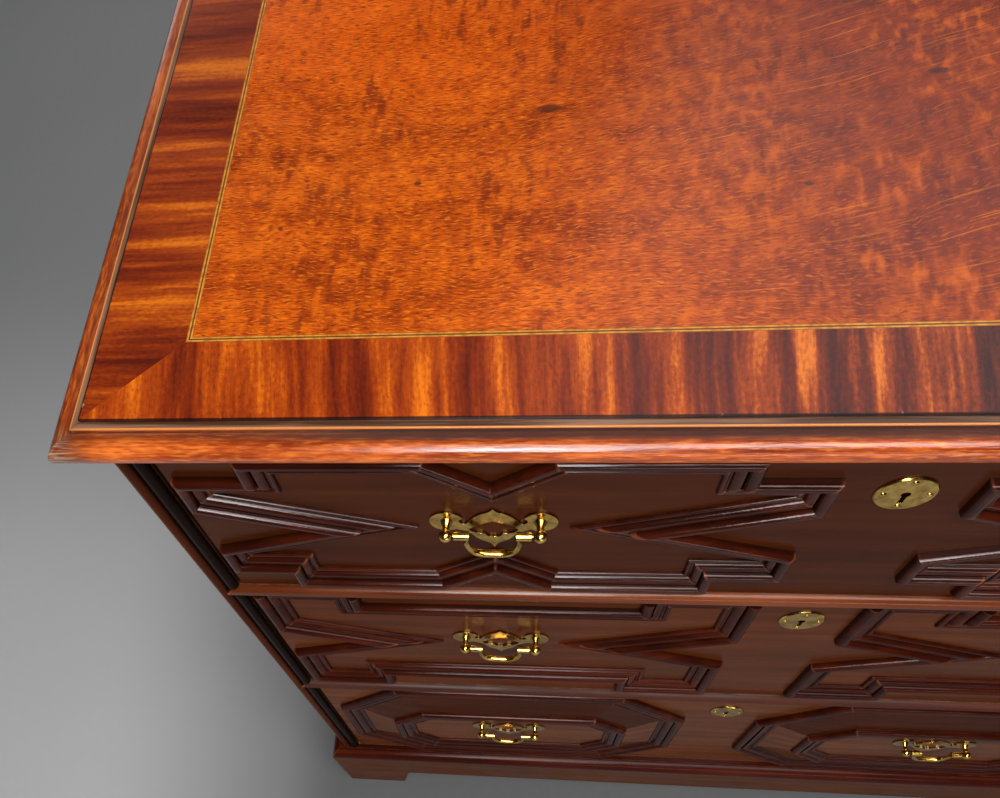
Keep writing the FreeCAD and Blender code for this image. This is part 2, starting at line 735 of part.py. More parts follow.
def escutcheon(n):
    z = keyhole_height(n)
    rim = cylinder_y(ESCUTCHEON_RADIUS, 0, ESCUTCHEON_CHAMFER - ESCUTCHEON_THICK, 0, z)
    bevel = Part.makeCone(ESCUTCHEON_RADIUS, ESCUTCHEON_RADIUS - ESCUTCHEON_CHAMFER, ESCUTCHEON_CHAMFER,
                          Vector(0, ESCUTCHEON_CHAMFER - ESCUTCHEON_THICK, z), Vector(0, -1, 0))
    plate = rim.fuse(bevel).cut(keyhole(n, -ESCUTCHEON_THICK, 0))
    pins = escutcheon_pins(n)
    for pin in pins:
        plate = plate.cut(pin)
    return [plate] + pins


def bolt_solid(n, clear):
    # The bolt itself, or with some clearance the channel it slides in
    front = FRONT_THICK + (LOCK_THICK - BOLT_THICK) / 2
    top = drawer_top_edge(n) - LOCK_TOP_DROP
    half = BOLT_WIDTH / 2 + clear
    return box(-half, half, front - clear, front + BOLT_THICK + clear, top - BOLT_LENGTH - clear, top)


def lock(n):
    top = drawer_top_edge(n) - LOCK_TOP_DROP
    case = box(-LOCK_WIDTH / 2, LOCK_WIDTH / 2, FRONT_THICK, FRONT_THICK + LOCK_THICK, top - LOCK_HEIGHT, top)
    return case.cut(bolt_solid(n, BOLT_CLEAR))


# Handles

def post_height(n):
    return panel_middle(n) + POST_LIFTS[n]


def post_positions(n):
    # Each post's place across the front and the direction of the bail from it
    half = POST_SPACING / 2
    return [(centre + side * half, -side) for centre in panel_centres(n) for side in (-1, 1)]


def post_holes(n):
    radius = POST_SHANK_RADIUS + POST_HOLE_CLEAR
    front = -BLOCK_RISE - PLATE_THICK - SPILL
    return [cylinder_y(radius, x, front, FRONT_THICK + SPILL, post_height(n))
            for x, toward in post_positions(n)]


def posts(n):
    z = post_height(n)
    face = -handle_base(n)
    plate_face = face - PLATE_THICK
    ball_y = face - POST_REACH
    solids = []
    for x, toward in post_positions(n):
        shank = cylinder_y(POST_SHANK_RADIUS, x, ball_y, FRONT_THICK + POST_TAIL, z)
        flare = Part.makeCone(POST_FLARE_RADIUS, POST_SHANK_RADIUS, POST_FLARE_HEIGHT,
                              Vector(x, plate_face, z), Vector(0, -1, 0))
        ball = Part.makeSphere(BALL_RADIUS, Vector(x, ball_y, z))
        inner = x + toward * (BALL_RADIUS + SPILL)
        bottom = x + toward * (BALL_RADIUS + BOSS_GAP - PIN_LENGTH - PIN_END_GAP)
        hole = cylinder_x(PIN_RADIUS + PIN_CLEAR, min(inner, bottom), max(inner, bottom), ball_y, z)
        solids.append(shank.fuse([flare, ball]).removeSplitter().cut(hole))
    return solids


def nuts(n):
    z = post_height(n)
    half = NUT_SIZE / 2
    solids = []
    for x, toward in post_positions(n):
        block = box(x - half, x + half, FRONT_THICK, FRONT_THICK + NUT_THICK, z - half, z + half)
        solids.append(block.cut(cylinder_y(POST_SHANK_RADIUS + NUT_CLEAR, x, FRONT_THICK - SPILL,
                                           FRONT_THICK + NUT_THICK + SPILL, z)))
    return solids


def symmetric_face(right_steps, centre_x, centre_z, y):
    # Face whose right half is given from top middle to bottom middle, mirrored to the left
    corner = Vector(centre_x, y, centre_z)

    def half_edges(direction):
        edges = []
        start = right_steps[0][0]
        for step in right_steps[1:]:
            points = [corner + Vector(direction * x, 0, z) for x, z in (start, *step)]
            edges.append(Part.Arc(*points).toShape() if len(points) == 3 else Part.makeLine(*points))
            start = step[-1]
        return edges

    return Part.Face(Part.Wire(Part.__sortEdges__(half_edges(1) + half_edges(-1))))


def arch_point(part):
    return (part[0] * POST_SPACING / 2, part[1] * PLATE_PEAK)


def swag_point(part):
    return (part[0] * POST_SPACING / 2, -part[1] * PLATE_DROP)


def disc_point(angle):
    turn = math.radians(angle)
    return (POST_SPACING / 2 + PLATE_DISC_RADIUS * math.cos(turn), PLATE_DISC_RADIUS * math.sin(turn))


def backplate_outline():
    # A peaked arch, a disc round each post and a swag with a pendant point
    arch = [arch_point(part) for part in ARCH_TOP_PARTS]
    swag = [swag_point(part) for part in SWAG_BOTTOM_PARTS]
    return [
        [(0, PLATE_PEAK)], arch[0:2], arch[2:4],
        [arch_point(ARCH_DIP_PART), disc_point(ARCH_JOIN_ANGLE)],
        [disc_point(0), disc_point(SWAG_JOIN_ANGLE)],
        [swag_point(SWAG_NECK_PART), swag[3]], [swag[2], swag[1]], [swag[0], (0, -PLATE_DROP)],
    ]


def backplate_opening():
    arch = [arch_point(part) for part in OPENING_ARCH_PARTS]
    swag = [swag_point(part) for part in OPENING_SWAG_PARTS]
    return [[arch[0]], [arch[1], swag[4]], [swag[3], swag[2]], [swag[1], swag[0]]]


def backplates(n):
    plates = []
    z = post_height(n)
    face = -handle_base(n)
    for centre in panel_centres(n):
        outer = symmetric_face(backplate_outline(), centre, z, face)
        opening = symmetric_face(backplate_opening(), centre, z, face)
        plate = outer.cut(opening).extrude(Vector(0, -PLATE_THICK, 0))
        for hole in post_holes(n):
            plate = plate.cut(hole)
        plates.append(plate.Solids[0])
    return plates


def bail(n, centre):
    # Drop handle: a grip bent in a squarish U, a boss at each end and a pin into each post ball
    z = post_height(n)
    y = -handle_base(n) - POST_REACH
    boss_end = POST_SPACING / 2 - BALL_RADIUS - BOSS_GAP
    arm_half = boss_end - BOSS_LENGTH + BAIL_RADIUS
    rings = []
    for index in range(BAIL_STATIONS):
        angle = math.pi * (index / (BAIL_STATIONS - 1) - 0.5)
        across, down = math.sin(angle), abs(math.cos(angle))
        side = math.copysign(1, across)
        place = Vector(centre + arm_half * side * abs(across) ** BAIL_CURVE_PART, y,
                       z - BAIL_DROP * down ** BAIL_CURVE_PART)
        tangent = Vector(arm_half * down ** (2 - BAIL_CURVE_PART), 0,
                         BAIL_DROP * side * abs(across) ** (2 - BAIL_CURVE_PART))
        radius = BAIL_RADIUS + BAIL_SWELL * down ** 2
        rings.append(Part.Wire(Part.Circle(place, tangent, radius).toShape()))
    grip = Part.makeLoft(rings, True)
    pieces = []
    for side in (-1, 1):
        outer = side * boss_end
        inner = side * (boss_end - BOSS_LENGTH)
        tip = side * (boss_end + PIN_LENGTH)
        pieces.append(cylinder_x(BOSS_RADIUS, centre + min(outer, inner), centre + max(outer, inner), y, z))
        pieces.append(cylinder_x(PIN_RADIUS, centre + min(tip, inner), centre + max(tip, inner), y, z))
    return grip.fuse(pieces)


def save_case():
    lower, upper = drawer_rails()
    save_both_sides("case_side", case_side())
    save("case_bottom", [case_bottom()])
    save("top_board", [top_board()])
    save("top_edge_moulding", top_edge_moulding())
    save("top_field_veneer", [top_field()])
    save("top_stringing", top_stringing())
    save("top_crossbanding", mitred_frame(0.0, CROSSBAND_WIDTH))
    front_rail, back_rail = top_rails()
    save("top_rails", [front_rail.cut(bolt_mortise(0)), back_rail])
    save("drawer_rail_upper", [upper.cut(bolt_mortise(1))])
    save("drawer_rail_lower", [lower.cut(bolt_mortise(2))])
    save("rail_beads", rail_beads())
    save("stile_beads", both_sides(stile_bead()))
    save("drawer_runners", drawer_runners())
    save("drawer_kickers", drawer_kickers())
    save("drawer_stops", drawer_stops())
    save("back_boards", back_boards())
    save("base_moulding", base_moulding())
    save("plinth", plinth())
    save("foot_blocks", foot_blocks())


def save_drawer(n):
    name = "drawer_%d_" % (n + 1)
    save(name + "front", [drawer_front(n)])
    save(name + "sides", drawer_sides(n))
    save(name + "back", [drawer_back(n)])
    save(name + "bottom", [drawer_bottom(n)])
    save(name + "mouldings", drawer_mouldings(n))
    save(name + "lock", [lock(n)])
    save(name + "lock_bolt", [bolt_solid(n, 0.0)])
    save(name + "escutcheon", escutcheon(n))
    save(name + "backplates", backplates(n))
    save(name + "posts", posts(n))
    save(name + "nuts", nuts(n))
    left, right = panel_centres(n)
    save(name + "bail_left", [bail(n, left)])
    save(name + "bail_right", [bail(n, right)])


os.makedirs("parts", exist_ok=True)
save_case()
for drawer in range(len(DRAWER_HEIGHTS)):
    save_drawer(drawer)
save("drawer_3_blocks", drawer_blocks())
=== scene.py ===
import math

import bpy
from mathutils import Matrix, Vector


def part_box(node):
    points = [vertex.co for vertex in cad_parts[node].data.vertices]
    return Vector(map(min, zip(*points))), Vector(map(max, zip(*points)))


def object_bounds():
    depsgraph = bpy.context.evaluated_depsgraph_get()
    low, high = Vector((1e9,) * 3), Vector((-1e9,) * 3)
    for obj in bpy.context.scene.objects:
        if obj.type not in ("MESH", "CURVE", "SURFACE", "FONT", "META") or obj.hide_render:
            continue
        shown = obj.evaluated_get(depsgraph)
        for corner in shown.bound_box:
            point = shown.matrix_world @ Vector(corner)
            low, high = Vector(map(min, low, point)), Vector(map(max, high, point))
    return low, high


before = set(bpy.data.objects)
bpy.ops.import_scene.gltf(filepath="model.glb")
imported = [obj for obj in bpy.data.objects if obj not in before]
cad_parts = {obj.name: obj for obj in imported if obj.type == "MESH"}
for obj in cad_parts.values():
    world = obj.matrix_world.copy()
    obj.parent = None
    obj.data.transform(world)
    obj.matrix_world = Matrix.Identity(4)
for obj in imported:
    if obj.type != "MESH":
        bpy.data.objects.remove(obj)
cad_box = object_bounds()

# Lengths are in metres, in the chest's own frame: X right, Y back, Z up, floor at Z 0.
# Colours are linear red, green and blue. A tint is a colour that others are multiplied by.
# An edge pair gives the two values between which a pattern fades in or out.
# A size pair gives how long and how wide one patch of a pattern is.
# A seed only picks one of many like patterns.

TOP_LOW, TOP_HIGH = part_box("top_crossbanding")
_, FIELD_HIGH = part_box("top_field_veneer")
_, STRING_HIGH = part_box("top_stringing")
EDGE_LOW, EDGE_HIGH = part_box("top_edge_moulding")
SIDE_LOW, SIDE_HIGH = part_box("case_side_right")
_, LOWER_RAIL_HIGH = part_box("drawer_rail_lower")
UPPER_RAIL_LOW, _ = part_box("drawer_rail_upper")

# Which axis the grain of a board follows
ACROSS, DEEP, TALL = 0, 1, 2

# How much small detail a noise has, and its value on average
LITTLE, SOME, MUCH = 2.0, 3.0, 4.0
NOISE_MIDDLE = 0.5

# Dirt and painted shade in corners, and dirt in the pores of the wood; the pore colour also serves as
# painted shade
GRIME_AND_SHADE = (0.006, 0.003, 0.002)
CREVICE_EDGE = (0.25, 0.8)
PORE_AND_SHADE = (0.03, 0.008, 0.004)
PORE_RUN, PORE_WIDTH = 0.014, 0.0007
PORE_EDGE, PORE_SHARE = (0.55, 0.72), 0.5
PORE_DEPTH = 0.00006

# Rounding of the sharp edges of wood and of metal, and where an outward edge starts to show wear
WOOD_ROUNDING = 0.0006
METAL_ROUNDING = 0.0004
ARRIS_EDGE = (0.45, 0.95)
EDGE_SAMPLES = 4

# Places of the mix node's sockets, which share their names
MIX_SHARE, NUMBER_FIRST, NUMBER_SECOND, COLOUR_FIRST, COLOUR_SECOND = 0, 2, 3, 6, 7
NUMBER_RESULT, COLOUR_RESULT = 0, 2


class Shade:
    """One material and short names for the node calls that build it."""

    def __init__(self, name, **sockets):
        self.material = bpy.data.materials.new(name)
        self.material.use_nodes = True
        self.tree = self.material.node_tree
        self.shader = self.tree.nodes["Principled BSDF"]
        for socket, value in sockets.items():
            self.shader.inputs[socket.replace("_", " ")].default_value = value

    def node(self, kind, **settings):
        made = self.tree.nodes.new(kind)
        for key, value in settings.items():
            setattr(made, key, value)
        return made

    def feed(self, socket, value):
        """A link where value is another node's output, or else a constant."""
        if isinstance(value, bpy.types.NodeSocket):
            self.tree.links.new(value, socket)
        else:
            socket.default_value = value

    def math(self, operation, *values):
        made = self.node("ShaderNodeMath", operation=operation)
        for socket, value in zip(made.inputs, values):
            self.feed(socket, value)
        return made.outputs[0]

    def blend(self, share, first, second):
        """The first value where share is 0 and the second where it is 1."""
        made = self.node("ShaderNodeMix", data_type="FLOAT")
        self.feed(made.inputs[MIX_SHARE], share)
        self.feed(made.inputs[NUMBER_FIRST], first)
        self.feed(made.inputs[NUMBER_SECOND], second)
        return made.outputs[NUMBER_RESULT]

    def mix(self, share, first, second, blend="MIX"):
        """As blend, for two colours."""
        made = self.node("ShaderNodeMix", data_type="RGBA", blend_type=blend)
        self.feed(made.inputs[MIX_SHARE], share)
        for place, value in ((COLOUR_FIRST, first), (COLOUR_SECOND, second)):
            self.feed(made.inputs[place], (*value, 1.0) if isinstance(value, tuple) else value)
        return made.outputs[COLOUR_RESULT]

    def tint(self, share, colour, by):
        return self.mix(share, colour, by, "MULTIPLY")

    def place(self):
        return self.node("ShaderNodeTexCoord").outputs["Object"]

    def split(self, vector):
        made = self.node("ShaderNodeSeparateXYZ")
        self.feed(made.inputs[0], vector)
        return tuple(made.outputs)

    def join(self, *parts):
        made = self.node("ShaderNodeCombineXYZ")
        for socket, value in zip(made.inputs, parts):
            self.feed(socket, value)
        return made.outputs[0]

    def scaled(self, vector, scale):
        made = self.node("ShaderNodeVectorMath", operation="MULTIPLY")
        self.feed(made.inputs[0], vector)
        made.inputs[1].default_value = scale
        return made.outputs[0]

    def noise(self, vector, detail, seed):
        """A value between 0 and 1."""
        made = self.node("ShaderNodeTexNoise", noise_dimensions="4D")
        made.inputs["W"].default_value = seed
        self.feed(made.inputs["Vector"], vector)
        made.inputs["Scale"].default_value = 1.0
        made.inputs["Detail"].default_value = detail
        return made.outputs["Fac"]

    def patches(self, size, detail=SOME, seed=0.0):
        """Noise whose patches are about size wide every way."""
        return self.noise(self.scaled(self.place(), (1.0 / size,) * 3), detail, seed)

    def streaks(self, axis, run, width, detail=MUCH, seed=0.0):
        """Noise drawn out along one axis: run and width are the size of one streak."""
        stretch = [1.0 / width] * 3
        stretch[axis] = 1.0 / run
        return self.noise(self.scaled(self.place(), stretch), detail, seed)

    def smooth(self, value, edge, start=0.0, end=1.0):
        """start below the edge pair, end above it, and a smooth step between."""
        made = self.node("ShaderNodeMapRange", interpolation_type="SMOOTHSTEP")
        for socket, item in zip(made.inputs, (value, *edge, start, end)):
            self.feed(socket, item)
        return made.outputs[0]

    def ramp(self, value, places, colours):
        """The colours in turn, each at its place between 0 and 1."""
        made = self.node("ShaderNodeValToRGB")
        points = made.color_ramp.elements
        while len(points) < len(colours):
            points.new(1.0)
        for point, place, colour in zip(points, places, colours):
            point.position = place
            point.color = (*colour, 1.0)
        self.feed(made.inputs[0], value)
        return made.outputs[0]

    def bump(self, height, depth, rounding=None):
        """Relief of that depth; rounding also softens the sharp edges of the mesh."""
        made = self.node("ShaderNodeBump")
        made.inputs["Distance"].default_value = depth
        self.feed(made.inputs["Height"], height)
        if rounding is not None:
            soft = self.node("ShaderNodeBevel", samples=EDGE_SAMPLES)
            soft.inputs["Radius"].default_value = rounding
            self.feed(made.inputs["Normal"], soft.outputs[0])
        self.feed(self.shader.inputs["Normal"], made.outputs[0])

    def crevice(self, reach):
        """1 in the open and towards 0 in corners narrower than reach."""
        made = self.node("ShaderNodeAmbientOcclusion", samples=EDGE_SAMPLES)
        made.inputs["Distance"].default_value = reach
        return made.outputs["AO"]

    def arris(self, reach):
        """0 on flat faces and rising to 1 along outward edges."""
        made = self.node("ShaderNodeAmbientOcclusion", samples=EDGE_SAMPLES, inside=True, only_local=True)
        made.inputs["Distance"].default_value = reach
        return self.smooth(made.outputs["AO"], ARRIS_EDGE, 1.0, 0.0)

    def colour(self, value):
        self.feed(self.shader.inputs["Base Color"], value)

    def roughness(self, value):
        self.feed(self.shader.inputs["Roughness"], value)


def use(shade, *names):
    for name in names:
        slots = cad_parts[name].data.materials
        slots.clear()
        slots.append(shade.material)


def drawers(*parts):
    return [f"drawer_{n}_{part}" for n in (1, 2, 3) for part in parts]


# Plain wood, for every part that is not veneered

FIGURE_RUN, FIGURE_WIDTH = 0.25, 0.011
CLOUD_SIZE, CLOUD_SHARE, CLOUD_EDGE = 0.09, 0.35, (0.35, 0.65)
RUB_SIZE, RUB_EDGE, RUB_SHARES, RUB_REACH = 0.017, (0.4, 0.62), (0.15, 0.85), 0.0015
GLOSS_SPREAD = (0.8, 1.3)

# Dark, middle and pale tone of each wood
TONE_STOPS = (0.36, 0.5, 0.64)
SIDE_TONES = ((0.055, 0.016, 0.008), (0.09, 0.027, 0.012), (0.13, 0.042, 0.018))
BASE_TONES = ((0.025, 0.0025, 0.0008), (0.045, 0.005, 0.0015), (0.075, 0.01, 0.003))
PLINTH_TONES = ((0.07, 0.019, 0.006), (0.1, 0.028, 0.009), (0.13, 0.039, 0.013))
RAIL_TONES = ((0.075, 0.013, 0.002), (0.14, 0.027, 0.0045), (0.21, 0.047, 0.008))
STILE_TONES = ((0.03, 0.006, 0.002), (0.052, 0.011, 0.003), (0.085, 0.019, 0.005))
FRONT_TONES = ((0.056, 0.0115, 0.0025), (0.075, 0.0155, 0.004), (0.098, 0.022, 0.006))
MOULDING_TONES = ((0.014, 0.002, 0.0008), (0.03, 0.004, 0.0013), (0.058, 0.008, 0.002))
PINE_TONES = ((0.2, 0.11, 0.05), (0.3, 0.17, 0.08), (0.38, 0.23, 0.11))
OAK_TONES = ((0.22, 0.13, 0.06), (0.32, 0.2, 0.1), (0.42, 0.28, 0.15))
CORE_TONES = ((0.06, 0.02, 0.01), (0.09, 0.03, 0.014), (0.13, 0.045, 0.02))

# From the top drawer to the bottom one: the tint of painted light and shade on each front, darker under
# the top and lighter lower down, and how strongly its mouldings shine
FRONT_LIGHT_TINTS = ((0.65, 0.66, 0.55), (1.15, 1.3, 1.2), (1.5, 1.95, 2.1))
MOULDING_SHINE = (0.3, 0.1, 0.12)
FRONT_GLOSS, FRONT_SHINE, FRONT_DIRT_SHADE_REACH = 0.2, 0.08, 0.004


def wood_colour(shade, axis, tones, seed):
    """Colour of wood whose grain follows the axis, and the cloud and pores that it is made with."""
    figure = shade.streaks(axis, FIGURE_RUN, FIGURE_WIDTH, seed=seed)
    cloud = shade.patches(CLOUD_SIZE, LITTLE, seed)
    pores = shade.streaks(axis, PORE_RUN, PORE_WIDTH, LITTLE)
    colour = shade.ramp(shade.blend(CLOUD_SHARE, figure, cloud), TONE_STOPS, tones)
    colour = shade.mix(shade.smooth(pores, PORE_EDGE, 0.0, PORE_SHARE), colour, PORE_AND_SHADE)
    return colour, cloud, pores


def finish_wood(shade, colour, cloud, pores, gloss, worn, dirt_shade_reach):
    """Edges rubbed to the worn colour, dirt and painted shade in the corners, polish and open pores."""
    if worn is not None:
        patch = shade.smooth(shade.patches(RUB_SIZE), RUB_EDGE, *RUB_SHARES)
        colour = shade.mix(shade.math("MULTIPLY", shade.arris(RUB_REACH), patch), colour, worn)
    # Dirt and painted shade darken the corners and creases
    shade.colour(shade.mix(shade.smooth(shade.crevice(dirt_shade_reach), CREVICE_EDGE), GRIME_AND_SHADE, colour))
    shade.roughness(shade.math("MULTIPLY", shade.smooth(cloud, CLOUD_EDGE, *GLOSS_SPREAD), gloss))
    shade.bump(pores, PORE_DEPTH, WOOD_ROUNDING)


def polished(name, axis, tones, gloss, seed, worn=None, dirt_shade_reach=0.006, shine=0.5):
    shade = Shade(name, Specular_IOR_Level=shine)
    colour, cloud, pores = wood_colour(shade, axis, tones, seed)
    finish_wood(shade, colour, cloud, pores, gloss, worn, dirt_shade_reach)
    return shade


def make_case_woods():
    side = polished("case_mahogany", TALL, SIDE_TONES, gloss=0.3, seed=1.0, worn=(0.3, 0.09, 0.03))
    use(side, "case_side_left", "case_side_right")
    base = polished("base_mahogany", ACROSS, BASE_TONES, gloss=0.2, seed=4.0,
                    worn=(0.16, 0.04, 0.013), shine=0.1)
    use(base, "base_moulding")
    plinth = polished("plinth_mahogany", ACROSS, PLINTH_TONES, gloss=0.34, seed=5.0,
                      worn=(0.22, 0.08, 0.03), shine=0.05)
    use(plinth, "plinth")


def make_rails():
    """The lower bead is darker and duller than the upper one, and both are painted in shade towards the
    left.
    """
    lower_tint = (0.4, 0.32, 0.4)
    left_shade_edge, left_shade_share = (-0.35, 0.0), 0.4
    upper_gloss, lower_gloss = 0.2, 0.5
    shade = Shade("rail_mahogany", Specular_IOR_Level=0.3)
    colour, cloud, pores = wood_colour(shade, ACROSS, RAIL_TONES, seed=3.0)
    x, _, z = shade.split(shade.place())
    lower = shade.smooth(z, (LOWER_RAIL_HIGH.z, UPPER_RAIL_LOW.z), 1.0, 0.0)
    colour = shade.tint(lower, colour, lower_tint)
    # Painted shade towards the left, in the dark colour of the pores
    colour = shade.mix(shade.smooth(x, left_shade_edge, left_shade_share, 0.0), colour, PORE_AND_SHADE)
    gloss = shade.blend(lower, upper_gloss, lower_gloss)
    finish_wood(shade, colour, cloud, pores, gloss, worn=(0.4, 0.13, 0.04), dirt_shade_reach=0.004)
    use(shade, "rail_beads")


def make_stile():
    """The inner bead is painted in shadow beside the drawers; the outer edge is rubbed pale and painted
    with a highlight.
    """
    middle = (SIDE_LOW.x + SIDE_HIGH.x) / 2
    change, inner_shadow_share = 0.002, 0.98
    rub_width, rub_and_highlight_share, rubbed = 0.004, 0.8, (0.5, 0.15, 0.035)
    shade = Shade("stile_mahogany", Specular_IOR_Level=0.03)
    colour, cloud, pores = wood_colour(shade, TALL, STILE_TONES, seed=2.0)
    x, _, _ = shade.split(shade.place())
    out = shade.math("ABSOLUTE", x)
    # Painted shadow on the inner bead beside the drawers
    inner = shade.smooth(out, (middle - change, middle + change), inner_shadow_share, 0.0)
    colour = shade.mix(inner, colour, GRIME_AND_SHADE)
    # The outer edge, rubbed pale and with a painted highlight
    outer = shade.smooth(out, (SIDE_HIGH.x - rub_width, SIDE_HIGH.x), 0.0, rub_and_highlight_share)
    colour = shade.mix(outer, colour, rubbed)
    finish_wood(shade, colour, cloud, pores, gloss=0.25, worn=None, dirt_shade_reach=0.01)
    use(shade, "stile_beads")


# Tones tinted by painted light and shade
def lit_tones(tones, light_tint):
    return [[part * share for part, share in zip(tone, light_tint)] for tone in tones]


def make_front_woods():
    for number, (light_tint, shine) in enumerate(zip(FRONT_LIGHT_TINTS, MOULDING_SHINE), start=1):
        front = polished(f"front_mahogany_{number}", ACROSS, lit_tones(FRONT_TONES, light_tint), FRONT_GLOSS,
                         seed=5.0 + number, dirt_shade_reach=FRONT_DIRT_SHADE_REACH, shine=FRONT_SHINE)
        use(front, f"drawer_{number}_front")
        mould = polished(f"moulding_mahogany_{number}", ACROSS, MOULDING_TONES, gloss=0.11, seed=9.0,
                         worn=(0.16, 0.042, 0.017), dirt_shade_reach=0.007, shine=shine)
        use(mould, f"drawer_{number}_mouldings")


def make_blocks():
    """The bevels that face upward are painted in shade, darker than the rest; all carry the painted light
    of the bottom front.
    """
    upward_shade_edge, upward_shade_tint = (0.05, 0.15), (0.36, 0.26, 0.2)
    shade = Shade("block_mahogany", Specular_IOR_Level=FRONT_SHINE)
    colour, cloud, pores = wood_colour(shade, ACROSS, lit_tones(FRONT_TONES, FRONT_LIGHT_TINTS[-1]), seed=8.0)
    _, _, upward = shade.split(shade.node("ShaderNodeNewGeometry").outputs["True Normal"])
    colour = shade.tint(shade.smooth(upward, upward_shade_edge), colour, upward_shade_tint)
    finish_wood(shade, colour, cloud, pores, FRONT_GLOSS, None, FRONT_DIRT_SHADE_REACH)
    use(shade, "drawer_3_blocks")


def make_inner_woods():
    use(polished("pine_lengthwise", DEEP, PINE_TONES, gloss=0.6, seed=8.0),
        "case_bottom", "drawer_runners", "drawer_kickers", "drawer_stops")
    use(polished("pine_crosswise", ACROSS, PINE_TONES, gloss=0.6, seed=11.0),
        "top_board", "back_boards")
    use(polished("pine_upright", TALL, PINE_TONES, gloss=0.6, seed=12.0),
        "foot_blocks")
    use(polished("oak_lengthwise", DEEP, OAK_TONES, gloss=0.55, seed=9.0),
        *drawers("sides", "bottom"))
    use(polished("oak_crosswise", ACROSS, OAK_TONES, gloss=0.55, seed=13.0),
        *drawers("back"))
    use(polished("rail_core", ACROSS, CORE_TONES, gloss=0.35, seed=10.0),
        "top_rails", "drawer_rail_upper", "drawer_rail_lower")


# The veneered top

# Painted shade: the top is redder and darker from the left towards the right
PAINTED_SHADE_EDGE, PAINTED_SHADE_TINT, PAINTED_SHADE_SLANT = (-0.3, 0.02), (0.42, 0.28, 0.8), 0.4
VENEER_RELIEF = 0.00005

FIELD_STOPS = (0.4, 0.5, 0.6)
FIELD_TONES = ((0.25, 0.026, 0.002), (0.5, 0.07, 0.002), (0.72, 0.128, 0.003))
FIELD_PALE = FIELD_TONES[-1]
FIELD_STREAK = (0.2, 0.02, 0.003)
FIELD_GLINT = (0.9, 0.22, 0.01)
FIELD_LINE = (0.16, 0.02, 0.004)
FIELD_ROUGHNESS = (0.24, 0.3)
LINE_SHARE, MOTTLE_SHARE = 0.4, 0.45

# Size pair of each pattern in the field, the length measured with the grain
BROAD, MOTTLE, LINES = (0.12, 0.04), (0.016, 0.014), (0.06, 0.002)
RIPPLE, STREAK, FLAME = (0.008, 0.03), (0.006, 0.034), (0.008, 0.013)
FIBRE, LONG_LINE = (0.006, 0.001), (0.08, 0.0011)

# From this place the grain bends back, over this length, up to this slope; less so near the front
LEAN_START, LEAN_BEND, LEAN_SLOPE = -0.26, 0.15, 0.42
FRONT_LEAN_EDGE, FRONT_LEAN_SHARE = (-0.2, 0.0), 0.15
SWAY_SIZE, SWAY_DEPTH = 0.14, 0.022
CURL_SIZE, CURL_DEPTH = 0.012, 0.006

# Brightest place of the field, and how far the brightness reaches
GLOW, GLOW_EDGE, GLOW_SHARE = (0.84, 0.112, 0.001), (0.1, 1.2), 0.5
GLOW_PLACE, GLOW_REACH = (-0.31, 0.12), (0.22, 0.15)

# Flames and long lines lie in the right-hand part of the field
RIGHT_EDGE = (-0.24, -0.04)

# Middle of each dark spot and half its length and width
KNOT, KNOT_EDGE, KNOT_SHARE = (0.025, 0.008, 0.006), (0.2, 1.3), 0.7
SPOTS = ((-0.287, -0.077, 0.0025, 0.0025), (-0.208, -0.017, 0.010, 0.004),
         (-0.061, -0.091, 0.003, 0.002), (0.022, -0.003, 0.008, 0.003),
         (-0.369, -0.110, 0.002, 0.002))


def top_edge_distance(shade, x, y):
    """How far a point lies inside the veneer's outer edge, and 1 where a side length is nearest."""
    from_side = shade.math("SUBTRACT", TOP_HIGH.x, shade.math("ABSOLUTE", x))
    from_front = shade.math("SUBTRACT", y, TOP_LOW.y)
    from_back = shade.math("SUBTRACT", TOP_HIGH.y, y)
    from_end = shade.math("MINIMUM", from_front, from_back)
    return shade.math("MINIMUM", from_side, from_end), shade.math("LESS_THAN", from_side, from_end)


def round_distance(shade, x, y, middle_x, middle_y, half_length, half_width):
    """Squared distance from the middle of an ellipse, 1 on its outline."""
    off_x = shade.math("DIVIDE", shade.math("SUBTRACT", x, middle_x), half_length)
    off_y = shade.math("DIVIDE", shade.math("SUBTRACT", y, middle_y), half_width)
    square_x = shade.math("MULTIPLY", off_x, off_x)
    square_y = shade.math("MULTIPLY", off_y, off_y)
    return shade.math("ADD", square_x, square_y)


def grain_height(shade, x, y):
    """Constant along each grain line of the field: level at the left, leaning back at the right."""
    past = shade.math("MAXIMUM", shade.math("SUBTRACT", x, LEAN_START), 0.0)
    bend = shade.math("SQRT", shade.math("MULTIPLY_ADD", past, past, LEAN_BEND * LEAN_BEND))
    slope = shade.smooth(y, FRONT_LEAN_EDGE, FRONT_LEAN_SHARE * LEAN_SLOPE, LEAN_SLOPE)
    lean = shade.math("MULTIPLY", shade.math("SUBTRACT", bend, LEAN_BEND), slope)
    sway = shade.math("MULTIPLY", shade.patches(SWAY_SIZE, LITTLE), SWAY_DEPTH)
    return shade.math("ADD", shade.math("SUBTRACT", y, lean), sway)


def grain(shade, along, across, size, detail, seed):
    """Noise whose patches have that size along and across the grain."""
    run, width = size
    place = shade.join(shade.math("DIVIDE", along, run), shade.math("DIVIDE", across, width))
    return shade.noise(place, detail, seed)


def somewhere(shade, size, edge, seed):
    """1 in some patches of that size and 0 in the others."""
    return shade.smooth(shade.patches(size, LITTLE, seed), edge)


def dark_where(shade, pattern, edge, share, where):
    """The share where the pattern is low, but only inside where."""
    return shade.math("MULTIPLY", shade.smooth(pattern, edge, share, 0.0), where)


def pale_where(shade, pattern, edge, share, where):
    """The share where the pattern is high, but only inside where."""
    return shade.math("MULTIPLY", shade.smooth(pattern, edge, 0.0, share), where)


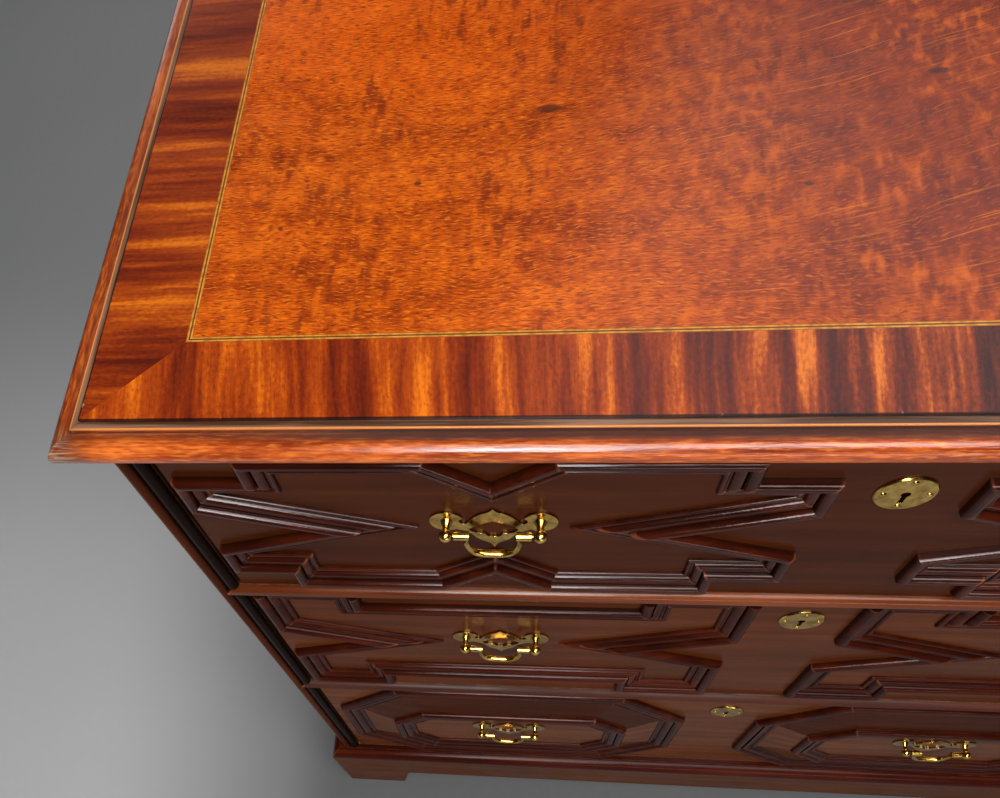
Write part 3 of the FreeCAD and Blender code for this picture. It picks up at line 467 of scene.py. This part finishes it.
def add_ripples(shade, colour, x, height):
    """Short bars across the grain, in patches."""
    ripple = grain(shade, x, height, RIPPLE, LITTLE, seed=4.0)
    rippled = somewhere(shade, size=0.1, edge=(0.44, 0.58), seed=5.0)
    dark = dark_where(shade, ripple, edge=(0.34, 0.5), share=0.75, where=rippled)
    colour = shade.mix(dark, colour, FIELD_STREAK)
    pale = pale_where(shade, ripple, edge=(0.52, 0.66), share=0.6, where=rippled)
    colour = shade.mix(pale, colour, FIELD_PALE)
    streak = grain(shade, x, height, STREAK, LITTLE, seed=6.0)
    streaked = somewhere(shade, size=0.06, edge=(0.56, 0.68), seed=7.0)
    dark = dark_where(shade, streak, edge=(0.34, 0.52), share=0.7, where=streaked)
    return shade.mix(dark, colour, FIELD_STREAK)


def add_right_figure(shade, colour, x, height, curled):
    """Flames and long lines, towards the right."""
    to_right = shade.smooth(x, RIGHT_EDGE)
    flame = grain(shade, x, curled, FLAME, MUCH, seed=11.0)
    flamed = shade.math("MULTIPLY", to_right, somewhere(shade, size=0.07, edge=(0.42, 0.6), seed=13.0))
    pale = pale_where(shade, flame, edge=(0.45, 0.72), share=0.65, where=flamed)
    colour = shade.mix(pale, colour, FIELD_PALE)
    dark = dark_where(shade, flame, edge=(0.28, 0.5), share=0.7, where=flamed)
    colour = shade.mix(dark, colour, FIELD_LINE)
    lines = grain(shade, x, height, LONG_LINE, LITTLE, seed=10.0)
    lined = shade.math("MULTIPLY", to_right, somewhere(shade, size=0.08, edge=(0.36, 0.56), seed=12.0))
    pale = pale_where(shade, lines, edge=(0.58, 0.7), share=0.45, where=lined)
    colour = shade.mix(pale, colour, FIELD_GLINT)
    dark = dark_where(shade, lines, edge=(0.32, 0.44), share=0.5, where=lined)
    return shade.mix(dark, colour, FIELD_LINE)


def add_spots(shade, colour, x, y, mottle):
    ragged = shade.math("SUBTRACT", mottle, NOISE_MIDDLE)
    for spot in SPOTS:
        far = shade.math("ADD", round_distance(shade, x, y, *spot), ragged)
        colour = shade.mix(shade.smooth(far, KNOT_EDGE, KNOT_SHARE, 0.0), colour, KNOT)
    return colour


def make_field():
    glint_edge, glint_share = (0.5, 0.68), 0.7
    pore_edge, pore_share = (0.48, 0.64), 0.75
    shade = Shade("figured_mahogany")
    x, y, _ = shade.split(shade.place())
    height = grain_height(shade, x, y)
    curled = shade.math("MULTIPLY_ADD", shade.patches(CURL_SIZE, LITTLE), CURL_DEPTH, height)

    broad = grain(shade, x, height, BROAD, SOME, seed=1.0)
    mottle = grain(shade, x, height, MOTTLE, MUCH, seed=2.0)
    lines = grain(shade, x, height, LINES, SOME, seed=3.0)
    tone = shade.blend(MOTTLE_SHARE, shade.blend(LINE_SHARE, broad, lines), mottle)
    colour = shade.ramp(tone, FIELD_STOPS, FIELD_TONES)
    far = round_distance(shade, x, y, *GLOW_PLACE, *GLOW_REACH)
    colour = shade.mix(shade.smooth(far, GLOW_EDGE, GLOW_SHARE, 0.0), colour, GLOW)
    colour = add_ripples(shade, colour, x, height)

    fibres = grain(shade, x, curled, FIBRE, LITTLE, seed=8.0)
    colour = shade.mix(shade.smooth(fibres, glint_edge, 0.0, glint_share), colour, FIELD_GLINT)
    # Painted shade, darker towards the right and the back
    aside = shade.math("MULTIPLY_ADD", y, PAINTED_SHADE_SLANT, x)
    colour = shade.tint(shade.smooth(aside, PAINTED_SHADE_EDGE), colour, PAINTED_SHADE_TINT)
    pores = grain(shade, x, curled, FIBRE, LITTLE, seed=9.0)
    colour = shade.mix(shade.smooth(pores, pore_edge, 0.0, pore_share), colour, FIELD_LINE)
    colour = add_right_figure(shade, colour, x, height, curled)
    shade.colour(add_spots(shade, colour, x, y, mottle))
    shade.roughness(shade.smooth(broad, CLOUD_EDGE, *FIELD_ROUGHNESS))
    shade.bump(shade.math("SUBTRACT", fibres, pores), VENEER_RELIEF)
    use(shade, "top_field_veneer")


# Size pair of each pattern in the crossbanding, the length measured from the edge inward
BAND_BROAD, BAND_NARROW, BAND_FINE = (0.3, 0.042), (0.16, 0.011), (0.05, 0.0036)
BAND_FLECK, BAND_CURL = (0.006, 0.001), (0.0035, 0.0022)
BAND_NARROW_SHARE, BAND_FINE_SHARE, BAND_CURL_SHARE = 0.55, 0.3, 0.12
BAND_WANDER_SIZE, BAND_WANDER = 0.05, 0.004
BAND_ROUGHNESS = (0.26, 0.32)

# How far the stripes of the front and back lengths lean, at the left and towards the middle
BAND_LEAN_EDGE, BAND_LEAN = (-0.4, 0.0), (0.15, -0.08)

# How far apart in the pattern the lengths are taken
SIDE_STEP, BACK_STEP = 3.0, 5.0

# Tones at the left and at the right, the right ones painted darker as shade
BRIGHT_STOPS = (0.4, 0.47, 0.54, 0.61)
BRIGHT_TONES = ((0.11, 0.011, 0.003), (0.23, 0.024, 0.003), (0.42, 0.06, 0.003), (0.8, 0.18, 0.006))
DEEP_STOPS = (0.43, 0.49, 0.54, 0.6)
DEEP_TONES = ((0.04, 0.007, 0.006), (0.12, 0.015, 0.006), (0.3, 0.045, 0.007), (0.7, 0.17, 0.02))

# The side lengths are darker towards the back
BACK_EDGE, BACK_SHARES, BACK_TINT = (-0.1, 0.1), (0.4, 0.7), (0.6, 0.6, 0.9)
FLECK, FLECK_EDGE, FLECK_SHARE = (0.06, 0.012, 0.004), (0.54, 0.68), 0.45

# Chips along the outer edge, and the dark joint beside it
CHIP, CHIP_SIZE, CHIP_EDGE, CHIP_REACH = (0.55, 0.36, 0.2), 0.004, (0.66, 0.7), (0.0005, 0.0022)
JOINT_REACH, JOINT_SHARE = (0.0004, 0.0012), 0.9


def crossband_run(shade, x, y, inset, on_side):
    """Place along each of the four lengths, each with a stretch of the pattern of its own."""
    side_run = shade.math("MULTIPLY_ADD", shade.math("SIGN", x), SIDE_STEP, y)
    end_run = shade.math("MULTIPLY_ADD", shade.math("GREATER_THAN", y, 0.0), BACK_STEP, x)
    run = shade.blend(on_side, end_run, side_run)
    run = shade.math("MULTIPLY_ADD", shade.patches(BAND_WANDER_SIZE, LITTLE), BAND_WANDER, run)
    lean = shade.blend(on_side, shade.smooth(x, BAND_LEAN_EDGE, *BAND_LEAN), 0.0)
    return shade.math("MULTIPLY_ADD", inset, lean, run)


def make_crossbanding():
    shade = Shade("crossbanding")
    x, y, _ = shade.split(shade.place())
    inset, on_side = top_edge_distance(shade, x, y)
    run = crossband_run(shade, x, y, inset, on_side)

    def stripes(size, detail, seed):
        """Noise drawn out from the edge inward."""
        length, width = size
        place = shade.join(shade.math("DIVIDE", run, width), shade.math("DIVIDE", inset, length))
        return shade.noise(place, detail, seed)

    broad = stripes(BAND_BROAD, LITTLE, seed=1.0)
    narrow = stripes(BAND_NARROW, SOME, seed=2.0)
    fine = stripes(BAND_FINE, LITTLE, seed=3.0)
    flecks = stripes(BAND_FLECK, LITTLE, seed=4.0)
    curls = stripes(BAND_CURL, MUCH, seed=5.0)
    tone = shade.blend(BAND_NARROW_SHARE, broad, shade.blend(BAND_FINE_SHARE, narrow, fine))
    curled = shade.math("SUBTRACT", curls, NOISE_MIDDLE)
    tone = shade.math("MULTIPLY_ADD", curled, BAND_CURL_SHARE, tone)
    bright = shade.ramp(tone, BRIGHT_STOPS, BRIGHT_TONES)
    deep = shade.ramp(tone, DEEP_STOPS, DEEP_TONES)
    # Painted shade towards the right
    colour = shade.mix(shade.smooth(x, PAINTED_SHADE_EDGE), bright, deep)
    to_back = shade.math("MULTIPLY", on_side, shade.smooth(y, BACK_EDGE, *BACK_SHARES))
    colour = shade.tint(to_back, colour, BACK_TINT)
    colour = shade.mix(shade.smooth(flecks, FLECK_EDGE, 0.0, FLECK_SHARE), colour, FLECK)
    chips = shade.smooth(shade.patches(CHIP_SIZE), CHIP_EDGE)
    chipped = shade.math("MULTIPLY", chips, shade.smooth(inset, CHIP_REACH, 1.0, 0.0))
    colour = shade.mix(chipped, colour, CHIP)
    shade.colour(shade.mix(shade.smooth(inset, JOINT_REACH, JOINT_SHARE, 0.0), colour, GRIME_AND_SHADE))
    shade.roughness(shade.smooth(broad, CLOUD_EDGE, *BAND_ROUGHNESS))
    shade.bump(flecks, VENEER_RELIEF)
    use(shade, "top_crossbanding")


def make_stringing():
    """Two pale lines with a dark one between, all worn into the veneer beside them."""
    pale_stops, pale_tones = (0.35, 0.6), ((0.4, 0.15, 0.016), (0.66, 0.31, 0.04))
    dark, dark_edge = (0.16, 0.04, 0.007), (0.1, 0.16)
    outer, outer_edge, outer_share = (0.3, 0.045, 0.004), (0.3, 0.46), 0.85
    tone_size, relief, halfway = 0.004, 0.00004, 0.5
    shade = Shade("stringing", Roughness=0.34)
    x, y, _ = shade.split(shade.place())
    inset, _ = top_edge_distance(shade, x, y)
    start = TOP_HIGH.x - STRING_HIGH.x
    width = STRING_HIGH.x - FIELD_HIGH.x
    part_way = shade.math("DIVIDE", shade.math("SUBTRACT", inset, start), width)
    from_middle = shade.math("ABSOLUTE", shade.math("SUBTRACT", part_way, halfway))
    tone = shade.patches(tone_size)
    pale = shade.ramp(tone, pale_stops, pale_tones)
    colour = shade.mix(shade.smooth(from_middle, dark_edge), dark, pale)
    shade.colour(shade.mix(shade.smooth(from_middle, outer_edge, 0.0, outer_share), colour, outer))
    shade.bump(tone, relief)
    use(shade, "top_stringing")


# The moulded edge of the top

EDGE_STOPS = (0.37, 0.5, 0.62)
EDGE_TONES = ((0.16, 0.02, 0.004), (0.42, 0.07, 0.01), (0.68, 0.15, 0.02))
EDGE_CLOUD_SIZE, EDGE_ROUGHNESS = 0.07, (0.15, 0.22)
EDGE_FIGURE, EDGE_FIBRE = (0.12, 0.004), (0.01, 0.0014)
EDGE_DARK_FIBRE, DARK_FIBRE_EDGE, DARK_FIBRE_SHARE = (0.2, 0.02, 0.003), (0.34, 0.5), 0.6
EDGE_PALE_FIBRE, PALE_FIBRE_EDGE, PALE_FIBRE_SHARE = (0.8, 0.22, 0.03), (0.5, 0.68), 0.5
EDGE_WORN, EDGE_WORN_REACH = (0.66, 0.3, 0.13), 0.002
EDGE_WORN_EDGE, EDGE_WORN_SHARES = (0.4, 0.6), (0.3, 0.9)
EDGE_DIRT_SHADE_REACH, EDGE_LEAST_OPEN = 0.0015, 0.4
EDGE_PORE_DEPTH = 2 * PORE_DEPTH

# The strip beside the veneer: its pale arris, then the flat part. Depths are measured down from the
# strip and insets from the moulding's outside.
STRIP_DEPTHS, STRIP, FLAT_INSET = (0.0012, 0.0006), (0.7, 0.24, 0.06), (0.0145, 0.0152)
FLAT_STOPS, FLAT_TONES = (0.4, 0.6), ((0.07, 0.028, 0.014), (0.28, 0.14, 0.08))

# The hollow below the strip, painted dark as shade, less so at the left
HOLLOW_SHADE, HOLLOW_INSET, HOLLOW_SHARE = (0.035, 0.006, 0.002), (0.0055, 0.0105), 0.92
HOLLOW_LEFT_EDGE, HOLLOW_LEFT_SHARE, HOLLOW_ROUGHNESS = (-0.44, -0.28), 0.4, 0.6

# The front corners are dirty and rubbed grey. Their reaches add up the insets from both sides.
CORNER, CORNER_REACH, CORNER_SHARE = (0.06, 0.016, 0.006), (0.008, 0.045), 0.7
RUBBED, RUBBED_REACH, RUBBED_SHARE, RUBBED_EDGE = (0.34, 0.24, 0.17), (0.006, 0.03), 0.8, (0.45, 0.6)


def edge_streaks(shade, on_side, size, detail, seeds):
    """Streaks that follow each length of the moulding."""
    run, width = size
    front_seed, side_seed = seeds
    front = shade.streaks(ACROSS, run, width, detail, front_seed)
    side = shade.streaks(DEEP, run, width, detail, side_seed)
    return shade.blend(on_side, front, side)


def edge_wood(shade, on_side, figure, pores, cloud):
    """Colour of the moulding's wood, worn pale along its arrises."""
    colour = shade.ramp(shade.blend(CLOUD_SHARE, figure, cloud), EDGE_STOPS, EDGE_TONES)
    colour = shade.mix(shade.smooth(pores, PORE_EDGE, 0.0, PORE_SHARE), colour, PORE_AND_SHADE)
    fibres = edge_streaks(shade, on_side, EDGE_FIBRE, SOME, seeds=(3.0, 4.0))
    dark = shade.smooth(fibres, DARK_FIBRE_EDGE, DARK_FIBRE_SHARE, 0.0)
    colour = shade.mix(dark, colour, EDGE_DARK_FIBRE)
    pale = shade.smooth(fibres, PALE_FIBRE_EDGE, 0.0, PALE_FIBRE_SHARE)
    colour = shade.mix(pale, colour, EDGE_PALE_FIBRE)
    patch = shade.smooth(cloud, EDGE_WORN_EDGE, *EDGE_WORN_SHARES)
    return shade.mix(shade.math("MULTIPLY", shade.arris(EDGE_WORN_REACH), patch), colour, EDGE_WORN)


def make_top_edge():
    shade = Shade("edge_mahogany", Specular_IOR_Level=0.6)
    x, y, z = shade.split(shade.place())
    from_side = shade.math("SUBTRACT", EDGE_HIGH.x, shade.math("ABSOLUTE", x))
    from_front = shade.math("SUBTRACT", y, EDGE_LOW.y)
    on_side = shade.math("LESS_THAN", from_side, from_front)
    figure = edge_streaks(shade, on_side, EDGE_FIGURE, MUCH, seeds=(1.0, 2.0))
    pores = edge_streaks(shade, on_side, (PORE_RUN, PORE_WIDTH), LITTLE, seeds=(0.0, 0.0))
    cloud = shade.patches(EDGE_CLOUD_SIZE)
    colour = edge_wood(shade, on_side, figure, pores, cloud)

    inset = shade.math("MINIMUM", from_side, from_front)
    low = shade.smooth(z, [EDGE_HIGH.z - depth for depth in STRIP_DEPTHS], 1.0, 0.0)
    hollow = shade.math("MULTIPLY", low, shade.smooth(inset, HOLLOW_INSET, 0.0, HOLLOW_SHARE))
    from_left = shade.smooth(x, HOLLOW_LEFT_EDGE, HOLLOW_LEFT_SHARE, 1.0)
    hollow = shade.math("MULTIPLY", hollow, from_left)
    # Painted shade in the hollow below the strip
    colour = shade.mix(hollow, colour, HOLLOW_SHADE)
    strip = shade.math("SUBTRACT", 1.0, low)
    colour = shade.mix(strip, colour, STRIP)
    flat = shade.math("MULTIPLY", strip, shade.smooth(inset, FLAT_INSET))
    colour = shade.mix(flat, colour, shade.ramp(figure, FLAT_STOPS, FLAT_TONES))
    # Dirt and painted shade in the crevices
    crevice_open = shade.smooth(shade.crevice(EDGE_DIRT_SHADE_REACH), CREVICE_EDGE, EDGE_LEAST_OPEN, 1.0)
    colour = shade.mix(crevice_open, GRIME_AND_SHADE, colour)

    corner = shade.math("ADD", from_side, from_front)
    colour = shade.mix(shade.smooth(corner, CORNER_REACH, CORNER_SHARE, 0.0), colour, CORNER)
    near = shade.smooth(corner, RUBBED_REACH, RUBBED_SHARE, 0.0)
    rubbed = shade.math("MULTIPLY", near, shade.smooth(pores, RUBBED_EDGE))
    shade.colour(shade.mix(rubbed, colour, RUBBED))
    gloss = shade.smooth(cloud, CLOUD_EDGE, *EDGE_ROUGHNESS)
    shade.roughness(shade.math("MULTIPLY_ADD", hollow, HOLLOW_ROUGHNESS, gloss))
    shade.bump(pores, EDGE_PORE_DEPTH, WOOD_ROUNDING)
    use(shade, "top_edge_moulding")


# Metal

def make_brass():
    stops, tones = (0.35, 0.6), ((0.4, 0.235, 0.045), (0.78, 0.5, 0.13))
    tarnish, tarnish_reach = (0.12, 0.075, 0.025), 0.004
    cloud_size, roughness = 0.007, (0.1, 0.2)
    rub_height, rub_width, rub_depth = 0.0006, 0.0025, 0.00003
    shade = Shade("brass", Metallic=1.0)
    cloud = shade.patches(cloud_size, MUCH)
    rubs = shade.streaks(TALL, rub_height, rub_width, LITTLE)
    open_share = shade.smooth(shade.crevice(tarnish_reach), CREVICE_EDGE)
    shade.colour(shade.mix(open_share, tarnish, shade.ramp(cloud, stops, tones)))
    shade.roughness(shade.smooth(cloud, CLOUD_EDGE, *roughness))
    shade.bump(rubs, rub_depth, METAL_ROUNDING)
    use(shade, *drawers("escutcheon", "backplates", "posts", "nuts", "bail_left", "bail_right"))


def make_steel():
    stops, tones = (0.4, 0.62), ((0.36, 0.35, 0.33), (0.5, 0.5, 0.49))
    rust, rust_size, rust_edge, rust_share = (0.16, 0.07, 0.03), 0.016, (0.58, 0.68), 0.6
    cloud_size, roughness, relief = 0.008, (0.32, 0.5), 0.00005
    shade = Shade("steel", Metallic=1.0)
    cloud = shade.patches(cloud_size, MUCH)
    rusty = shade.smooth(shade.patches(rust_size, MUCH, seed=2.0), rust_edge, 0.0, rust_share)
    shade.colour(shade.mix(rusty, shade.ramp(cloud, stops, tones), rust))
    shade.roughness(shade.smooth(cloud, CLOUD_EDGE, *roughness))
    shade.bump(cloud, relief, METAL_ROUNDING)
    use(shade, *drawers("lock", "lock_bolt"))


# Floor, lights and camera

HALF_WIDTH, HALF_DEPTH = cad_box[1][0], cad_box[1][1]
FLOOR_REACH = 30.0
FLOOR_FINE, FLOOR_BROAD, FLOOR_BROAD_SHARE = 0.011, 0.6, 0.7
FLOOR_STOPS, FLOOR_TONES = (0.3, 0.7), ((0.46, 0.46, 0.465), (0.5, 0.5, 0.505))
FLOOR_ROUGHNESS = (0.6, 0.75)

# The floor is painted darker towards the back as shade, and with painted shadow around the chest and
# close beside it.
# Around the chest, only this share of a distance in front of it counts.
FLOOR_BACK_SHADE_EDGE, FLOOR_BACK_SHADE_TINT = (0.0, 0.9), (0.56, 0.56, 0.56)
AROUND_SHADOW_EDGE, AROUND_SHADOW_TINT, AROUND_FRONT_SHARE = (0.0, 0.45), (0.36, 0.36, 0.36), 0.4
BESIDE_SHADOW_EDGE, BESIDE_SHADOW_TINT = (0.0, 0.12), (0.6, 0.6, 0.6)

WORLD_COLOUR = (0.03, 0.03, 0.03)

# Camera, solved from the straight edges in the photo; turns in radians, lens and sensor in millimetres
CAMERA_PLACE = (-0.2124, -0.5128, 1.2637)
YAW, PITCH, ROLL = -0.33416, 1.16614, 0.28388
LENS, SENSOR_WIDTH = 29.534, 36.0
SHIFT_X, SHIFT_Y = 0.0771, 0.2255
NEAREST, FARTHEST = 0.01, 100.0


def floor_shade():
    shade = Shade("floor")
    x, y, _ = shade.split(shade.place())
    fine = shade.patches(FLOOR_FINE)
    broad = shade.patches(FLOOR_BROAD, LITTLE)
    colour = shade.ramp(shade.blend(FLOOR_BROAD_SHARE, fine, broad), FLOOR_STOPS, FLOOR_TONES)
    # Painted shade towards the back
    colour = shade.tint(shade.smooth(y, FLOOR_BACK_SHADE_EDGE), colour, FLOOR_BACK_SHADE_TINT)
    beside = shade.math("SUBTRACT", shade.math("ABSOLUTE", x), HALF_WIDTH)
    before = shade.math("SUBTRACT", shade.math("ABSOLUTE", y), HALF_DEPTH)
    around = shade.math("MAXIMUM", beside, shade.math("MULTIPLY", before, AROUND_FRONT_SHARE))
    # Painted shadow around the chest
    colour = shade.tint(shade.smooth(around, AROUND_SHADOW_EDGE, 1.0, 0.0), colour, AROUND_SHADOW_TINT)
    # Painted shadow close beside the chest
    close = shade.math("MAXIMUM", beside, before)
    shade.colour(shade.tint(shade.smooth(close, BESIDE_SHADOW_EDGE, 1.0, 0.0), colour, BESIDE_SHADOW_TINT))
    shade.roughness(shade.smooth(fine, CLOUD_EDGE, *FLOOR_ROUGHNESS))
    return shade


def make_floor():
    low, high = -FLOOR_REACH, FLOOR_REACH
    corners = [(low, low, 0), (high, low, 0), (high, high, 0), (low, high, 0)]
    mesh = bpy.data.meshes.new("floor")
    mesh.from_pydata(corners, [], [tuple(range(len(corners)))])
    mesh.materials.append(floor_shade().material)
    floor = bpy.data.objects.new("floor", mesh)
    bpy.context.scene.collection.objects.link(floor)


def softbox(name, place, target, size, watts):
    lamp = bpy.data.lights.new(name, "AREA")
    lamp.shape = "RECTANGLE"
    lamp.size, lamp.size_y = size
    lamp.energy = watts
    holder = bpy.data.objects.new(name, lamp)
    holder.location = place
    holder.rotation_euler = (Vector(target) - Vector(place)).to_track_quat("-Z", "Y").to_euler()
    bpy.context.scene.collection.objects.link(holder)


def make_lights():
    softbox("over", place=(0.4, -1.2, 3.0), target=(0.1, -0.3, 0.8), size=(1.9, 1.2), watts=54.0)
    softbox("key", place=(-0.27, -1.95, 2.3), target=(-0.1, -0.25, 0.85), size=(0.6, 1.0), watts=38.0)
    softbox("back", place=(1.1, 1.7, 3.2), target=(0.0, 0.0, 0.9), size=(2.6, 2.0), watts=15.0)
    softbox("rear", place=(-1.6, 2.4, 1.2), target=(0.0, 0.2, 0.5), size=(1.2, 1.2), watts=5.0)
    softbox("front", place=(0.6, -2.4, 0.8), target=(0.0, -0.25, 0.6), size=(1.3, 0.25), watts=6.0)


def make_world():
    world = bpy.data.worlds.new("studio")
    world.use_nodes = True
    world.node_tree.nodes["Background"].inputs["Color"].default_value = (*WORLD_COLOUR, 1.0)
    bpy.context.scene.world = world


def camera_turn():
    """Axes of the camera: it looks down by the pitch, then turns by the roll about its own view."""
    level = math.cos(PITCH)
    forward = Vector((math.sin(YAW) * level, math.cos(YAW) * level, -math.sin(PITCH)))
    right = Vector((math.cos(YAW), -math.sin(YAW), 0.0))
    down = forward.cross(right)
    across = math.cos(ROLL) * right + math.sin(ROLL) * down
    up = math.sin(ROLL) * right - math.cos(ROLL) * down
    return Matrix((across, up, -forward)).transposed().to_4x4()


def make_camera():
    camera = bpy.data.cameras.new("camera")
    camera.sensor_fit = "HORIZONTAL"
    camera.sensor_width = SENSOR_WIDTH
    camera.lens = LENS
    camera.shift_x = SHIFT_X
    camera.shift_y = SHIFT_Y
    camera.clip_start, camera.clip_end = NEAREST, FARTHEST
    holder = bpy.data.objects.new("camera", camera)
    holder.matrix_world = Matrix.Translation(CAMERA_PLACE) @ camera_turn()
    bpy.context.scene.collection.objects.link(holder)
    bpy.context.scene.camera = holder


make_case_woods()
make_rails()
make_stile()
make_front_woods()
make_blocks()
make_inner_woods()
make_field()
make_crossbanding()
make_stringing()
make_top_edge()
make_brass()
make_steel()
make_floor()
make_lights()
make_world()
make_camera()

bpy.context.scene.view_settings.view_transform = "Standard"
